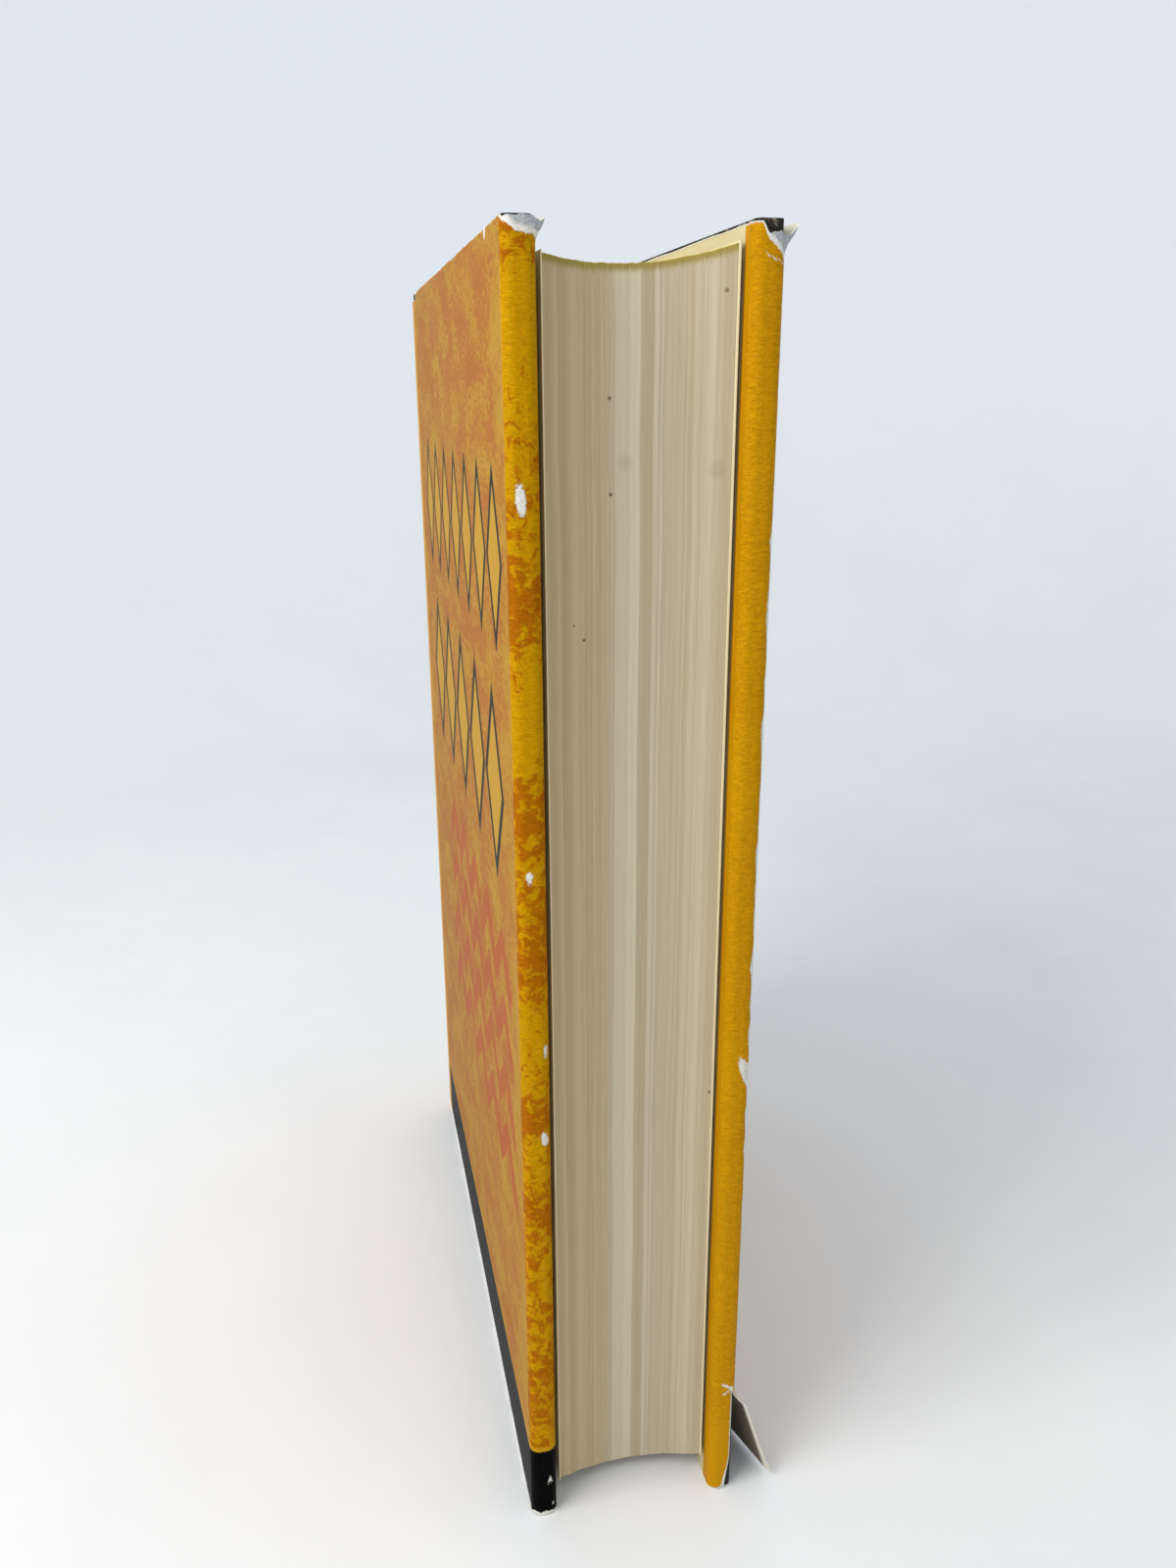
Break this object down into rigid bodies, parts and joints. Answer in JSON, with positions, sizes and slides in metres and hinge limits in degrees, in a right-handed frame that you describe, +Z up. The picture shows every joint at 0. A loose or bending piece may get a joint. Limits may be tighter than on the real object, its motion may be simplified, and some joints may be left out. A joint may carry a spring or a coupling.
{
  "type": "hardcover book",
  "caption": "Upright case-bound book with rounded spine, hollow fore-edge, two hinged covers and a worn printed paper jacket with one torn, bent corner.",
  "frame": {"origin": "centre of the book's footprint, with the bent jacket corner counted, on the surface that it stands on", "axes": "+Z up the spine from tail to head, -Y towards the fore-edge, +Y towards the spine, -X towards the front cover"},
  "size_m": [0.0478, 0.149, 0.222],
  "materials": {
    "jacket_paper": "coated paper, printed, worn at the edges",
    "book_cloth": "dark woven book cloth",
    "binders_board": "grey-brown millboard",
    "text_paper": "uncoated cream paper, cut and stained at the head",
    "endpaper": "smooth cream paper",
    "gauze": "open starched gauze",
    "kraft_paper": "brown kraft paper",
    "flexible_card": "smooth flexible card",
    "band_cotton": "twisted cotton, yellow and white"
  },
  "bodies": {
    "block": {"text_block": "text_paper", "front_flyleaf": "endpaper", "back_flyleaf": "endpaper", "mull": "gauze", "spine_lining": "kraft_paper", "head_band": "band_cotton", "tail_band": "band_cotton", "spine_inlay": "flexible_card", "spine_cloth": "book_cloth", "jacket_spine": "jacket_paper"},
    "front_cover": {"front_board": "binders_board", "front_cover_cloth": "book_cloth", "front_mull_flange": "gauze", "front_pastedown": "endpaper", "jacket_front": "jacket_paper"},
    "back_cover": {"back_board": "binders_board", "back_cover_cloth": "book_cloth", "back_mull_flange": "gauze", "back_pastedown": "endpaper", "jacket_back": "jacket_paper"}
  },
  "joints": [
    {"name": "front_hinge", "type": "hinge", "parent": "block", "child": "front_cover", "pos_m": [-0.02347, 0.06253, 0], "axis": [0, 0, -1], "range_deg": [0, 178]},
    {"name": "back_hinge", "type": "hinge", "parent": "block", "child": "back_cover", "pos_m": [0.01469, 0.06253, 0], "axis": [0, 0, 1], "range_deg": [0, 178]}
  ]
}
